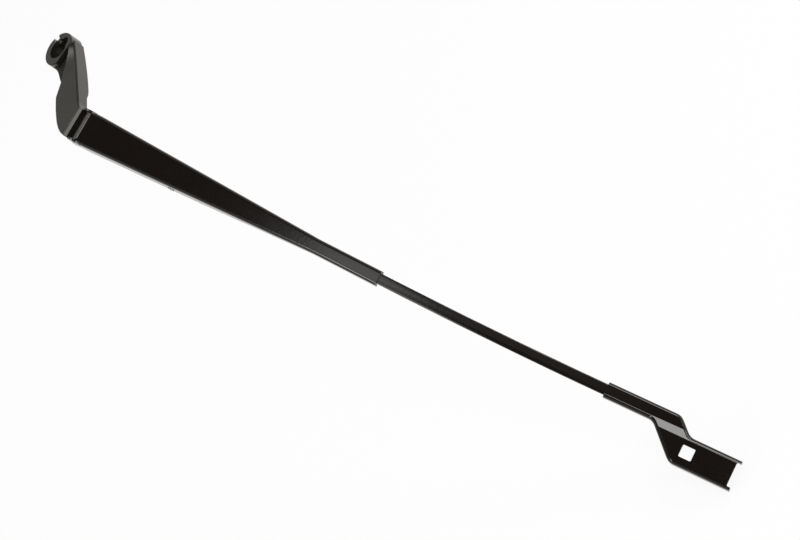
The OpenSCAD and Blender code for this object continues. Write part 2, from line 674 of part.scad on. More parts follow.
// How far the wide floor has opened beside the narrow one, from 0 to 1
function opened(x) = min(1, max(0, (ramp_low - low_edge(x)) / 4));
function floor_z(y) = let (t = (ramp_high - y) / ramp_run)
    neck_top + floor_step * (soft(t, ramp_soft) - soft(t - 1, ramp_soft));
function conn_ring(x, cut) = let (
        kl = sqrt(1 + pow(slope_at(x, low_from, low_to), 2)),
        kh = sqrt(1 + pow(slope_at(x, high_from, high_to), 2)),
        yl = low_edge(x) + cut * kl, yh = high_edge(x) - cut * kh,
        r = conn_r - cut,
        zl = floor_z(low_edge(x) + conn_r) - cut, zh = floor_z(high_edge(x) - conn_r) - cut,
        foot_l = lerp(neck_foot, seat_foot, ease(opened(x))),
        foot_h = lerp(neck_foot, seat_foot, ease(min(1, max(0, (x - high_from) / (high_to - high_from))))),
        a = yl + r * kl, b = yh - r * kh,
        path = concat([[yl, foot_l]],
            [for (i = [0:5]) let (g = 180 - 18 * i) [a + r * kl * cos(g), zl - r + r * sin(g)]],
            [for (i = [1:ramp_steps]) let (
                    on_ramp = ramp_low + ramp_run * ramp_at[i - 1],
                    y = max(a + i * point_gap, min(b - (ramp_steps + 1 - i) * point_gap, on_ramp)))
                [y, floor_z(y) - cut]],
            [for (i = [0:5]) let (g = 90 - 18 * i) [b + r * kh * cos(g), zh - r + r * sin(g)]],
            [[yh, foot_h]]))
    [for (q = path) [x, q[0], q[1]]];

// Upright block with round corners that cuts through the floor
module round_block(length, width, r) {
    for (turn = [0, 1]) translate([-length / 2 + turn * r, -width / 2 + (1 - turn) * r, 0])
        cube([length - 2 * turn * r, width - 2 * (1 - turn) * r, 2 * seat_top]);
    for (x = [-1, 1], y = [-1, 1]) translate([x * (length / 2 - r), y * (width / 2 - r), 0])
        cylinder(r = r, h = 2 * seat_top, $fn = 32);
}

module connector() {
    span = conn_len + side_past;
    xs = concat([0, neck_len - 8], [for (x = [neck_len - 4:1.6:high_to + 4]) x], [high_to + 12, span]);
    low = neck_top - nose_h + 2 * (sheet - conn_t);
    color([0.07, 0.065, 0.06]) in_connector() difference() {
        union() {
            sheet_loft([for (x = xs) conn_ring(x, 0)], [for (x = xs) conn_ring(x, conn_t)]);
            // The lip on the long side is longer
            for (s = [0, 1]) mirror([0, s, 0]) translate([1, 0, 0])
                lip(neck_w, neck_len - 6 + 11 * s, conn_t, low);
        }
        // Window for the blade's button
        translate([window_x, seat_mid, 0]) round_block(window_l, window_w, window_r);
        // Floor cut back between the sides, with round corners
        translate([conn_len + side_past, seat_mid, 0])
            round_block(2 * side_past, seat_w - 2 * conn_r + 0.4, cut_r);
    }
}

head();
hinge_pin();
washer(-1);  // washer_left
washer(1);  // washer_right
link_pin();
hook_link();
spring();
anchor_pin();
retainer();
rod();
connector();
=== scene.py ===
"""Dresses a packed front wiper arm: black coats, plated pins, a soft studio and the camera."""
import logging
import math
from abc import ABC, abstractmethod
from dataclasses import dataclass, field
from enum import Enum

import bmesh
import bpy
from mathutils import Matrix, Vector

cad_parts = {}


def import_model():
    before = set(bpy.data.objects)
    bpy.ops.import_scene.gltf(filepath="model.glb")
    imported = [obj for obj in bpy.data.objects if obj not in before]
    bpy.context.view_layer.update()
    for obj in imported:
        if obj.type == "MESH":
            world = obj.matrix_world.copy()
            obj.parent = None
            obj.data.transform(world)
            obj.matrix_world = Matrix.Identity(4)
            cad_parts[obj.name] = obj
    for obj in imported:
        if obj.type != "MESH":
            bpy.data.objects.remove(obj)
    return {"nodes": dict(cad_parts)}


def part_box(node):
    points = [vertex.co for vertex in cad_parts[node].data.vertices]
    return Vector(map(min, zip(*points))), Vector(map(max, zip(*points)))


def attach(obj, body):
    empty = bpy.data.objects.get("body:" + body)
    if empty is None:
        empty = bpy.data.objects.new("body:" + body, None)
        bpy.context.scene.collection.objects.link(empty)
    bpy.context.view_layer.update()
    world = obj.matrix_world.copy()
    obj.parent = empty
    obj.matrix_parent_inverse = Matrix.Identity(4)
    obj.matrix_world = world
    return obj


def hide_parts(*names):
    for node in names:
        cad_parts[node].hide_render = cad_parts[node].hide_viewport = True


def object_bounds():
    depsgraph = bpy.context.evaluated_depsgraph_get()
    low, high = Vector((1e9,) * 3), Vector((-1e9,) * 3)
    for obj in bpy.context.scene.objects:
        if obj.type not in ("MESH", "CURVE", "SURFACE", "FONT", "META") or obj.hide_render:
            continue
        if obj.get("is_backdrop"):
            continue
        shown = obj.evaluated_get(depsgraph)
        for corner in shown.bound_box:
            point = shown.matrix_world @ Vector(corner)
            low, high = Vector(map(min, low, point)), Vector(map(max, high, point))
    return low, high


log = logging.getLogger("wiper_arm")
MM = 0.001
Point = tuple[float, float, float]

# How much rougher full handling marks make a finish.
MARK_DULLING = 0.08

# Places of a Mix node's colour sockets, which share their names with its other sockets.
MIX_FACTOR, MIX_A, MIX_B, MIX_RESULT = 0, 6, 7, 2


class Ray(Enum):
    """The kinds of ray that the studio answers in its own way."""

    CAMERA = "Is Camera Ray"
    GLOSSY = "Is Glossy Ray"
    TRANSMISSION = "Is Transmission Ray"


class Texture(Enum):
    """The shared texture groups that a coat can use."""

    POWDER = "powder_texture"
    FILM = "paint_film"
    BRUSHED = "brushed_metal"


class NodeTree:
    """Small helper that adds and joins nodes in one tree."""

    def __init__(self, tree: bpy.types.NodeTree) -> None:
        """Starts from an empty tree.

        Args:
            tree: The node tree to fill.
        """
        self.tree = tree
        tree.nodes.clear()

    def add(self, kind: str, **inputs: object) -> bpy.types.Node:
        """Adds a node and sets its inputs.

        Args:
            kind: The node's type, without the ShaderNode prefix.
            inputs: Values for attributes, or for inputs with underscores for spaces.

        Returns:
            The new node.
        """
        node = self.tree.nodes.new("ShaderNode" + kind)
        for name, value in inputs.items():
            if hasattr(node, name):
                setattr(node, name, value)
            else:
                node.inputs[name.replace("_", " ")].default_value = value
        return node

    def join(self, source: bpy.types.NodeSocket, target: bpy.types.NodeSocket) -> None:
        """Links an output to an input."""
        self.tree.links.new(source, target)

    def math(self, operation: str, *values: object) -> bpy.types.NodeSocket:
        """Adds a math node.

        Args:
            operation: The node's operation, such as ADD.
            values: Numbers or sockets for its inputs, in order.

        Returns:
            The node's output.
        """
        node = self.add("Math", operation=operation)
        for socket, value in zip(node.inputs, values):
            if isinstance(value, bpy.types.NodeSocket):
                self.join(value, socket)
            else:
                socket.default_value = value
        return node.outputs[0]

    def spread(self, source: bpy.types.NodeSocket, start: object, end: object,
               low: float = 0.0, high: float = 1.0) -> bpy.types.NodeSocket:
        """Maps a value smoothly from one range to another.

        Args:
            source: The value that it reads.
            start: Where the result is the low value, as a number or a socket.
            end: Where the result is the high value, as a number or a socket.
            low: Result at the start.
            high: Result at the end.

        Returns:
            The node's output.
        """
        node = self.add("MapRange", interpolation_type="SMOOTHSTEP")
        self.join(source, node.inputs["Value"])
        for label, value in {"From Min": start, "From Max": end, "To Min": low, "To Max": high}.items():
            if isinstance(value, bpy.types.NodeSocket):
                self.join(value, node.inputs[label])
            else:
                node.inputs[label].default_value = value
        return node.outputs["Result"]

    def ramp(self, source: bpy.types.NodeSocket, stops: list[tuple[float, float]]) -> bpy.types.NodeSocket:
        """Adds a grey colour ramp.

        Args:
            source: The value that it reads.
            stops: Position and grey level of each stop.

        Returns:
            The ramp's colour output.
        """
        node = self.add("ValToRGB")
        elements = node.color_ramp.elements
        while len(elements) < len(stops):
            elements.new(1.0)
        for element, (position, level) in zip(elements, stops):
            element.position = position
            element.color = (level, level, level, 1)
        self.join(source, node.inputs["Fac"])
        return node.outputs["Color"]

    def noise(self, place: bpy.types.NodeSocket, scale: float, detail: float,
              **more: float) -> bpy.types.NodeSocket:
        """Adds a noise texture.

        Args:
            place: The coordinates that it reads.
            scale: How fine it is, as its lumps in a metre.
            detail: How many finer layers it has.
            more: Values for its other inputs.

        Returns:
            The noise, from 0 to 1.
        """
        node = self.add("TexNoise", Scale=scale, Detail=detail, **more)
        self.join(place, node.inputs["Vector"])
        return node.outputs["Fac"]

    def swing(self, noise: bpy.types.NodeSocket, width: float) -> bpy.types.NodeSocket:
        """Turns a noise into a value that swings about 0 within a width."""
        return self.math("MULTIPLY", self.math("SUBTRACT", noise, 0.5), width)

    def any_ray(self, *rays: Ray) -> bpy.types.NodeSocket:
        """Tells some kinds of ray from all others.

        Args:
            rays: The kinds to tell.

        Returns:
            A socket that is 1 where the ray is one of them.
        """
        path = self.add("LightPath")
        total = path.outputs[rays[0].value]
        for ray in rays[1:]:
            total = self.math("MAXIMUM", total, path.outputs[ray.value])
        return total


class GroupBuilder:
    """Opens shader node groups with their sockets."""

    def __init__(self, name: str, inputs: dict[str, object], outputs: dict[str, str]) -> None:
        """Makes the group and its two end nodes.

        Args:
            name: The group's name.
            inputs: Inputs with their defaults, numbers or vectors.
            outputs: Outputs with their socket types.
        """
        self.group = bpy.data.node_groups.new(name, "ShaderNodeTree")
        for label, value in inputs.items():
            kind = "NodeSocketVector" if isinstance(value, tuple) else "NodeSocketFloat"
            socket = self.group.interface.new_socket(label, in_out="INPUT", socket_type=kind)
            socket.default_value = value
        for label, kind in outputs.items():
            self.group.interface.new_socket(label, in_out="OUTPUT", socket_type=kind)
        self.tree = NodeTree(self.group)
        self.given = self.group.nodes.new("NodeGroupInput").outputs
        self.out = self.group.nodes.new("NodeGroupOutput").inputs

    def close(self, **results: bpy.types.NodeSocket) -> bpy.types.NodeTree:
        """Joins the results to the outputs.

        Args:
            results: A socket for each output, by its name.

        Returns:
            The finished group.
        """
        for label, socket in results.items():
            self.tree.join(socket, self.out[label])
        return self.group


@dataclass(frozen=True)
class SoftCard:
    """A round soft reflector that only glossy surfaces see.

    Attributes:
        name: The card's name.
        aim: Direction from the arm to the card's middle.
        core: Half angle of its even part, in degrees.
        edge: Half angle at which it has faded away, in degrees.
        level: Its brightness against the white backdrop.
    """

    name: str
    aim: Point
    core: float
    edge: float
    level: float


@dataclass(frozen=True)
class SoftStrip:
    """A long soft reflector that only glossy surfaces see.

    Attributes:
        name: The strip's name.
        start: Direction from the arm to the middle of one end.
        end: Direction from the arm to the middle of the other end.
        core: Half angle of its even part across it, in degrees.
        edge: Half angle across it at which it has faded away, in degrees.
        level: Its brightness against the white backdrop.
        fade: Angle over which both ends fade away, in degrees.
    """

    name: str
    start: Point
    end: Point
    core: float
    edge: float
    level: float
    fade: float = 6.0

    @property
    def middle(self) -> Vector:
        """Direction from the arm to the strip's middle."""
        return (Vector(self.start).normalized() + Vector(self.end).normalized()).normalized()

    @property
    def across(self) -> Vector:
        """Direction square to the strip's length."""
        return Vector(self.start).cross(Vector(self.end)).normalized()

    @property
    def half(self) -> float:
        """Half angle of its length, in radians."""
        return Vector(self.start).angle(Vector(self.end)) / 2


@dataclass(frozen=True)
class LampSpot:
    """A square soft lamp, placed from the arm's middle.

    Attributes:
        name: The lamp's name.
        offset: Where it hangs, from the arm's middle.
        size: Side of the square.
        watts: Its power.
    """

    name: str
    offset: Point
    size: float
    watts: float


@dataclass
class Studio:
    """White sweep, dark ceiling, soft cards and strips, lamps and the camera.

    Attributes:
        floor_half: Half the side of the floor.
        floor_grey: Grey of the floor where the shadow shows.
        floor_share: Share of its own white in what the camera sees of the floor.
        floor_glow: How bright reflections show the floor's near side.
        floor_far_glow: How bright reflections show its far side.
        floor_turn: Y from which and to which it turns from near to far.
        plain_level: Level of the even light on the arm.
        ceiling: Height of a direction, as its Z, and the grey that is mirrored from there.
        cards: The round reflectors.
        strips: The long reflectors.
        lamps: The lamps.
        camera_at: The camera's place.
        look_along: Direction in which it looks.
        camera_up: Its upward direction.
        focal_px: Its focal length, in pixels of the picture.
        image_px: Width and height of the picture, in pixels.
        sensor_mm: Width of its sensor, in millimetres.
    """

    floor_half: float = 6.0
    floor_grey: float = 0.8
    floor_share: float = 0.9
    floor_glow: float = 0.95
    floor_far_glow: float = 1.7
    floor_turn: tuple[float, float] = (0.05, 0.5)
    plain_level: float = 0.55
    ceiling: tuple[tuple[float, float], ...] = (
        (0.3, 0.62), (0.48, 0.38), (0.58, 0.9), (0.68, 0.4), (0.8, 0.05),
    )
    cards: tuple[SoftCard, ...] = (
        SoftCard("camera_card", (0.86, 0.10, 0.50), 23.0, 29.0, 4.0),
        SoftCard("side_card", (0.265, 0.62, 0.74), 5.5, 10.0, 7.4),
        SoftCard("back_card", (-0.40, 0.09, 0.91), 8.0, 17.0, 3.6),
        SoftCard("top_card", (0.203, 0.099, 0.974), 0.3, 3.1, 1.75),
        SoftCard("top_haze", (0.25, 0.10, 0.963), 1.0, 9.0, 0.2),
    )
    strips: tuple[SoftStrip, ...] = (
        SoftStrip("near_strip", (0.20, 0.0, 0.98), (0.20, -0.26, 0.945), 0.4, 3.5, 1.3),
        SoftStrip("far_strip", (0.20, -0.34, 0.92), (0.08, -0.72, 0.69), 0.5, 4.2, 8.0),
    )
    lamps: tuple[LampSpot, ...] = (
        LampSpot("key_lamp", (1.6, 0.3, 1.45), 0.9, 16.0),
        LampSpot("side_lamp", (0.45, 1.6, 1.35), 0.7, 18.0),
        LampSpot("far_lamp", (-0.5, -1.7, 0.7), 0.9, 12.0),
    )
    camera_at: Point = (1.205, -0.17067, 0.68715)
    look_along: Point = (-0.7290, 0.1095, -0.6757)
    camera_up: Point = (-0.2589, 0.8697, 0.4202)
    focal_px: float = 1721.2
    image_px: tuple[int, int] = (800, 540)
    sensor_mm: float = 36.0

    def build(self, low: Vector, high: Vector) -> None:
        """Sets up the whole studio round the arm.

        Args:
            low: The arm's lowest corner.
            high: The arm's highest corner.
        """
        self.build_camera()
        self.build_world()
        self.build_floor(low.z)
        middle = (low + high) / 2
        for spot in self.lamps:
            self.build_lamp(spot, middle)
        log.info("built the studio: %d cards, %d strips, %d lamps", len(self.cards), len(self.strips),
                 len(self.lamps))

    def build_floor(self, height: float) -> bpy.types.Object:
        """Lays a pale floor.

        Args:
            height: Where it lies, at the arm's lowest point.

        Returns:
            The floor.
        """
        mesh = bpy.data.meshes.new("floor")
        bm = bmesh.new()
        bmesh.ops.create_grid(bm, x_segments=1, y_segments=1, size=self.floor_half)
        bmesh.ops.translate(bm, verts=bm.verts, vec=(0, 0, height))
        bm.to_mesh(mesh)
        bm.free()
        floor = bpy.data.objects.new("floor", mesh)
        bpy.context.collection.objects.link(floor)
        floor.data.materials.append(self.floor_finish())
        floor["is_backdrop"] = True
        return floor

    def floor_finish(self) -> bpy.types.Material:
        """Makes the floor white to the camera, brighter far off in reflections, with a soft shadow.

        Returns:
            The material.
        """
        finish = bpy.data.materials.new("studio_floor")
        finish.use_nodes = True
        tree = NodeTree(finish.node_tree)
        diffuse = tree.add("BsdfDiffuse", Color=(self.floor_grey,) * 3 + (1,))
        split = tree.add("SeparateXYZ")
        tree.join(tree.add("TexCoord").outputs["Object"], split.inputs[0])
        far = tree.spread(split.outputs["Y"], *self.floor_turn, self.floor_glow, self.floor_far_glow)
        mirrored = tree.any_ray(Ray.GLOSSY)
        level = tree.math("ADD", 1.0, tree.math("MULTIPLY", mirrored, tree.math("SUBTRACT", far, 1.0)))
        glow = tree.add("Emission", Color=(1, 1, 1, 1))
        tree.join(level, glow.inputs["Strength"])
        seen = tree.any_ray(Ray.CAMERA, Ray.GLOSSY, Ray.TRANSMISSION)
        mix = tree.add("MixShader")
        tree.join(tree.math("MULTIPLY", seen, self.floor_share), mix.inputs["Fac"])
        tree.join(diffuse.outputs[0], mix.inputs[1])
        tree.join(glow.outputs[0], mix.inputs[2])
        tree.join(mix.outputs[0], tree.add("OutputMaterial").inputs["Surface"])
        return finish

    def card_group(self) -> bpy.types.NodeTree:
        """Makes the group that gives the light of one soft card along a direction.

        Returns:
            The group.
        """
        inputs = {"Direction": (0, 0, 1), "Aim": (0, 0, 1), "Core": 1.0, "Edge": 0.9, "Level": 1.0}
        group = GroupBuilder("soft_card", inputs, {"Light": "NodeSocketFloat"})
        towards = group.tree.add("VectorMath", operation="DOT_PRODUCT")
        group.tree.join(group.given["Direction"], towards.inputs[0])
        group.tree.join(group.given["Aim"], towards.inputs[1])
        share = group.tree.spread(towards.outputs["Value"], group.given["Edge"], group.given["Core"])
        return group.close(Light=group.tree.math("MULTIPLY", share, group.given["Level"]))

    def add_strip(self, tree: NodeTree, direction: bpy.types.NodeSocket,
                  strip: SoftStrip) -> bpy.types.NodeSocket:
        """Adds the light of one soft strip along a direction.

        Args:
            tree: The world's nodes.
            direction: The direction's socket.
            strip: The strip.

        Returns:
            The light.
        """
        along = tree.add("VectorMath", operation="DOT_PRODUCT")
        across = tree.add("VectorMath", operation="DOT_PRODUCT")
        for node, axis in ((along, strip.middle), (across, strip.across)):
            node.label = strip.name
            tree.join(direction, node.inputs[0])
            node.inputs[1].default_value = axis
        outer = strip.half + math.radians(strip.fade)
        core, edge = math.radians(strip.core), math.radians(strip.edge)
        in_length = tree.spread(along.outputs["Value"], math.cos(outer), math.cos(strip.half))
        aside = tree.math("ABSOLUTE", across.outputs["Value"])
        in_width = tree.spread(aside, math.sin(core), math.sin(edge), 1.0, 0.0)
        return tree.math("MULTIPLY", tree.math("MULTIPLY", in_length, in_width), strip.level)

    def build_world(self) -> None:
        """Makes a white world for the camera, a dark one with reflectors for gloss, and a plain one."""
        world = bpy.data.worlds.new("studio")
        world.use_nodes = True
        bpy.context.scene.world = world
        tree = NodeTree(world.node_tree)
        direction = tree.add("TexCoord").outputs["Generated"]
        split = tree.add("SeparateXYZ")
        tree.join(direction, split.inputs[0])
        total = tree.ramp(split.outputs["Z"], list(self.ceiling))
        group = self.card_group()
        for card in self.cards:
            core, edge = (math.cos(math.radians(angle)) for angle in (card.core, card.edge))
            node = tree.add("Group", node_tree=group, Aim=Vector(card.aim).normalized(), Core=core,
                            Edge=edge, Level=card.level)
            node.label = card.name
            tree.join(direction, node.inputs["Direction"])
            total = tree.math("ADD", total, node.outputs["Light"])
        for strip in self.strips:
            total = tree.math("ADD", total, self.add_strip(tree, direction, strip))
        mirrored = tree.add("Background", Strength=1.0)
        tree.join(total, mirrored.inputs["Color"])
        white = tree.add("Background", Color=(1, 1, 1, 1), Strength=1.0)
        plain = tree.add("Background", Color=(1, 1, 1, 1), Strength=self.plain_level)
        inner = tree.add("MixShader")
        tree.join(tree.any_ray(Ray.GLOSSY), inner.inputs["Fac"])
        tree.join(plain.outputs[0], inner.inputs[1])
        tree.join(mirrored.outputs[0], inner.inputs[2])
        outer = tree.add("MixShader")
        tree.join(tree.any_ray(Ray.CAMERA, Ray.TRANSMISSION), outer.inputs["Fac"])
        tree.join(inner.outputs[0], outer.inputs[1])
        tree.join(white.outputs[0], outer.inputs[2])
        tree.join(outer.outputs[0], tree.add("OutputWorld").inputs["Surface"])

    def build_lamp(self, spot: LampSpot, middle: Vector) -> bpy.types.Object:
        """Hangs one lamp that lights the arm without showing in its gloss.

        Args:
            spot: The lamp's place and power.
            middle: The point that it is placed from and faces.

        Returns:
            The lamp.
        """
        data = bpy.data.lights.new(spot.name, "AREA")
        data.shape = "SQUARE"
        data.size = spot.size
        data.energy = spot.watts
        lamp = bpy.data.objects.new(spot.name, data)
        lamp.location = middle + Vector(spot.offset)
        lamp.rotation_euler = (-Vector(spot.offset)).to_track_quat("-Z", "Y").to_euler()
        lamp.visible_glossy = False
        bpy.context.collection.objects.link(lamp)
        return lamp

    def build_camera(self) -> bpy.types.Object:
        """Sets the camera at the photograph's angle.

        Returns:
            The camera.
        """
        data = bpy.data.cameras.new("camera")
        data.sensor_width = self.sensor_mm
        data.lens = self.focal_px * self.sensor_mm / self.image_px[0]
        camera = bpy.data.objects.new("camera", data)
        back = -Vector(self.look_along).normalized()
        right = Vector(self.camera_up).cross(back).normalized()
        up = back.cross(right)
        turn = Matrix((right, up, back)).transposed().to_4x4()
        camera.matrix_world = Matrix.Translation(self.camera_at) @ turn
        bpy.context.collection.objects.link(camera)
        bpy.context.scene.camera = camera
        return camera


class SharedTextures:
    """Shader node groups that several finishes use."""

    def __init__(self) -> None:
        """Builds each group once."""
        self.by_kind = {
            Texture.POWDER: self._powder(),
            Texture.FILM: self._film(),
            Texture.BRUSHED: self._brushed(),
        }
        self.marks = self._marks()

    def _open(self, kind: Texture) -> GroupBuilder:
        """Opens a texture group: gloss and relief in, roughness and normal out."""
        return GroupBuilder(kind.value, {"Gloss": 0.2, "Relief": 0.05},
                            {"Roughness": "NodeSocketFloat", "Normal": "NodeSocketVector"})

    def _relief(self, group: GroupBuilder, height: bpy.types.NodeSocket,
                depth: float) -> bpy.types.NodeSocket:
        """Turns a height into a normal.

        Args:
            group: The group that it is in.
            height: The height's socket.
            depth: The relief's depth, in metres.

        Returns:
            The normal.
        """
        bump = group.tree.add("Bump", Distance=depth)
        group.tree.join(height, bump.inputs["Height"])
        group.tree.join(group.given["Relief"], bump.inputs["Strength"])
        return bump.outputs["Normal"]

    def _powder(self) -> bpy.types.NodeTree:
        """Makes a satin coat on cast metal: a dense low relief and a slow drift of gloss.

        Returns:
            The group.
        """
        group = self._open(Texture.POWDER)
        tree = group.tree
        place = tree.add("TexCoord").outputs["Object"]
        grain = tree.noise(place, 900.0, 3.0, Roughness=0.6)
        drift = tree.swing(tree.noise(place, 35.0, 4.0), 0.06)
        return group.close(Roughness=tree.math("ADD", group.given["Gloss"], drift),
                           Normal=self._relief(group, grain, 0.2 * MM))

    def _film(self) -> bpy.types.NodeTree:
        """Makes sprayed gloss paint: a faint ripple and fine dull specks.

        Returns:
            The group.
        """
        group = self._open(Texture.FILM)
        tree = group.tree
        place = tree.add("TexCoord").outputs["Object"]
        ripple = tree.noise(place, 420.0, 1.5)
        specks = tree.spread(tree.noise(place, 1500.0, 2.0), 0.6, 0.8, 0.0, 0.05)
        return group.close(Roughness=tree.math("ADD", group.given["Gloss"], specks),
                           Normal=self._relief(group, ripple, 0.3 * MM))

    def _brushed(self) -> bpy.types.NodeTree:
        """Makes rolled and tumbled metal: fine lines across Y and a soft mottle under them.

        Returns:
            The group.
        """
        group = self._open(Texture.BRUSHED)
        tree = group.tree
        place = tree.add("TexCoord").outputs["Object"]
        stretch = tree.add("Mapping", Scale=(1.0, 0.08, 1.0))
        tree.join(place, stretch.inputs["Vector"])
        lines = tree.noise(stretch.outputs["Vector"], 2600.0, 2.0)
        mottle = tree.swing(tree.noise(place, 160.0, 3.0), 0.2)
        return group.close(Roughness=tree.math("ADD", group.given["Gloss"], mottle),
                           Normal=self._relief(group, lines, 0.05 * MM))

    def _marks(self) -> bpy.types.NodeTree:
        """Makes a mask of handling marks: soft smears, broken up by a finer noise.

        Returns:
            The group.
        """
        group = GroupBuilder("handling_marks", {"Amount": 0.5}, {"Marks": "NodeSocketFloat"})
        tree = group.tree
        place = tree.add("TexCoord").outputs["Object"]
        smears = tree.spread(tree.noise(place, 28.0, 5.0, Roughness=0.62, Distortion=0.6), 0.5, 0.72)
        breaks = tree.spread(tree.noise(place, 340.0, 2.0), 0.3, 0.65, 0.3, 1.0)
        mask = tree.math("MULTIPLY", smears, breaks)
        return group.close(Marks=tree.math("MULTIPLY", mask, group.given["Amount"]))


@dataclass(frozen=True)
class Coat:
    """A painted or plated finish.

    Attributes:
        name: The finish's name, which is the record's slot too.
        colour: Base colour, linear.
        marked: Colour under full handling marks, linear.
        gloss: Mean roughness.
        relief: Strength of its fine texture.
        texture: Which shared texture it has.
        metallic: 1 for bare metal.
        handled: How strong its handling marks are.
        sheen: Tint of its reflections.
    """

    name: str
    colour: Point
    marked: Point
    gloss: float
    relief: float
    texture: Texture
    metallic: float = 0.0
    handled: float = 0.5
    sheen: Point = (1.0, 1.0, 1.0)

    def build(self, shared: SharedTextures) -> bpy.types.Material:
        """Makes the material.

        Args:
            shared: The texture groups.

        Returns:
            The material.
        """
        finish = bpy.data.materials.new(self.name)
        finish.use_nodes = True
        tree = NodeTree(finish.node_tree)
        shader = tree.add("BsdfPrincipled", Metallic=self.metallic, Specular_Tint=self.sheen + (1,))
        group = shared.by_kind[self.texture]
        texture = tree.add("Group", node_tree=group, Gloss=self.gloss, Relief=self.relief)
        marks = tree.add("Group", node_tree=shared.marks, Amount=self.handled).outputs["Marks"]
        tint = tree.add("Mix", data_type="RGBA")
        tree.join(marks, tint.inputs[MIX_FACTOR])
        tint.inputs[MIX_A].default_value = self.colour + (1,)
        tint.inputs[MIX_B].default_value = self.marked + (1,)
        tree.join(tint.outputs[MIX_RESULT], shader.inputs["Base Color"])
        dulled = tree.math("ADD", texture.outputs["Roughness"], tree.math("MULTIPLY", marks, MARK_DULLING))
        tree.join(dulled, shader.inputs["Roughness"])
        tree.join(texture.outputs["Normal"], shader.inputs["Normal"])
        tree.join(shader.outputs[0], tree.add("OutputMaterial").inputs["Surface"])
        return finish


COATS = (
    Coat("head_coat", (0.010, 0.0088, 0.0068), (0.016, 0.0145, 0.012), 0.26, 0.12, Texture.POWDER,
         sheen=(1.0, 0.96, 0.87)),
    Coat("arm_coat", (0.0062, 0.0042, 0.0032), (0.0085, 0.0065, 0.005), 0.09, 0.04, Texture.FILM,
         handled=0.3),
    Coat("pin_steel", (0.55, 0.56, 0.57), (0.45, 0.44, 0.42), 0.28, 0.1, Texture.BRUSHED, 1.0),
    Coat("link_steel", (0.45, 0.46, 0.47), (0.36, 0.35, 0.34), 0.34, 0.2, Texture.BRUSHED, 1.0),
    Coat("spring_steel", (0.3, 0.3, 0.29), (0.2, 0.19, 0.18), 0.3, 0.1, Texture.BRUSHED, 1.0),
    Coat("washer_plastic", (0.03, 0.03, 0.03), (0.04, 0.04, 0.038), 0.48, 0.1, Texture.POWDER),
)


class Finishes:
    """Every finish of the arm, by name."""

    def __init__(self) -> None:
        """Makes the materials."""
        shared = SharedTextures()
        self.made = {coat.name: coat.build(shared) for coat in COATS}

    def put(self, piece: bpy.types.Object, name: str) -> None:
        """Gives a piece one finish in place of any other."""
        piece.data.materials.clear()
        piece.data.materials.append(self.made[name])


@dataclass(frozen=True)
class EdgeFinish:
    """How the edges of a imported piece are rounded.

    Attributes:
        radius: Radius of the rounding, in metres.
        segments: Faces across the rounding.
        sharp_from: Angle from which an edge counts as sharp, in degrees.
        flat_to: Angle up to which neighbouring faces are taken as one, in degrees.
        merge: Distance within which points are taken as one, in metres.
    """

    radius: float
    segments: int = 3
    sharp_from: float = 32.0
    flat_to: float = 0.4
    merge: float = 0.002 * MM


@dataclass(frozen=True)
class Facet:
    """A flat facet along Y that takes the place of a rounded edge.

    Attributes:
        back: X where it meets the face above it.
        front: X of the wall below it.
        top: Z of the face above it.
        bottom: Z where it meets the wall.
        reach: How far past the wall a point may lie and still be moved.
    """

    back: float
    front: float
    top: float
    bottom: float
    reach: float = 0.05 * MM

    def cut(self, bm: bmesh.types.BMesh) -> None:
        """Moves what stands out past the facet back onto it.

        Args:
            bm: The mesh to change.
        """
        corner = Vector((self.back, 0, self.top))
        outward = Vector((self.top - self.bottom, 0, self.front - self.back)).normalized()
        for vert in bm.verts:
            inside = (self.back < vert.co.x <= self.front + self.reach
                      and self.bottom < vert.co.z < self.top)
            height = (vert.co - corner).dot(outward)
            if inside and height > 0:
                vert.co -= outward * height


@dataclass
class RefinedPiece:
    """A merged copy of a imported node, with its edges rounded.

    Attributes:
        node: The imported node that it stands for.
        name: The piece's name.
        body: The body that it rides on.
        finish: The finish's name, which is the record's slot too.
        edges: How its edges are rounded.
        facets: Facets that it has in place of rounded edges.
    """

    node: str
    name: str
    body: str
    finish: str
    edges: EdgeFinish
    facets: tuple[Facet, ...] = ()

    def build(self, source: bpy.types.Object, finishes: Finishes) -> bpy.types.Object:
        """Makes the piece.

        Args:
            source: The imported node's object.
            finishes: The finishes to dress it from.

        Returns:
            The piece.
        """
        mesh = bpy.data.meshes.new(self.name)
        bm = bmesh.new()
        bm.from_mesh(source.data)
        bmesh.ops.remove_doubles(bm, verts=bm.verts, dist=self.edges.merge)
        bmesh.ops.dissolve_degenerate(bm, edges=bm.edges, dist=self.edges.merge)
        for facet in self.facets:
            facet.cut(bm)
        flat = math.radians(self.edges.flat_to)
        bmesh.ops.dissolve_limit(bm, verts=bm.verts, edges=bm.edges, angle_limit=flat)
        sharp = [edge for edge in bm.edges if edge.is_manifold
                 and edge.calc_face_angle(0.0) > math.radians(self.edges.sharp_from)]
        bmesh.ops.bevel(bm, geom=sharp, offset=self.edges.radius, offset_type="OFFSET", affect="EDGES",
                        segments=self.edges.segments, profile=0.5, material=-1, clamp_overlap=True)
        for face in bm.faces:
            face.smooth = True
        bm.to_mesh(mesh)
        bm.free()
        piece = bpy.data.objects.new(self.name, mesh)
        even = piece.modifiers.new("even_normals", "WEIGHTED_NORMAL")
        even.mode = "FACE_AREA"
        even.weight = 50
        return mount(piece, self.node, self.body, self.finish, finishes)


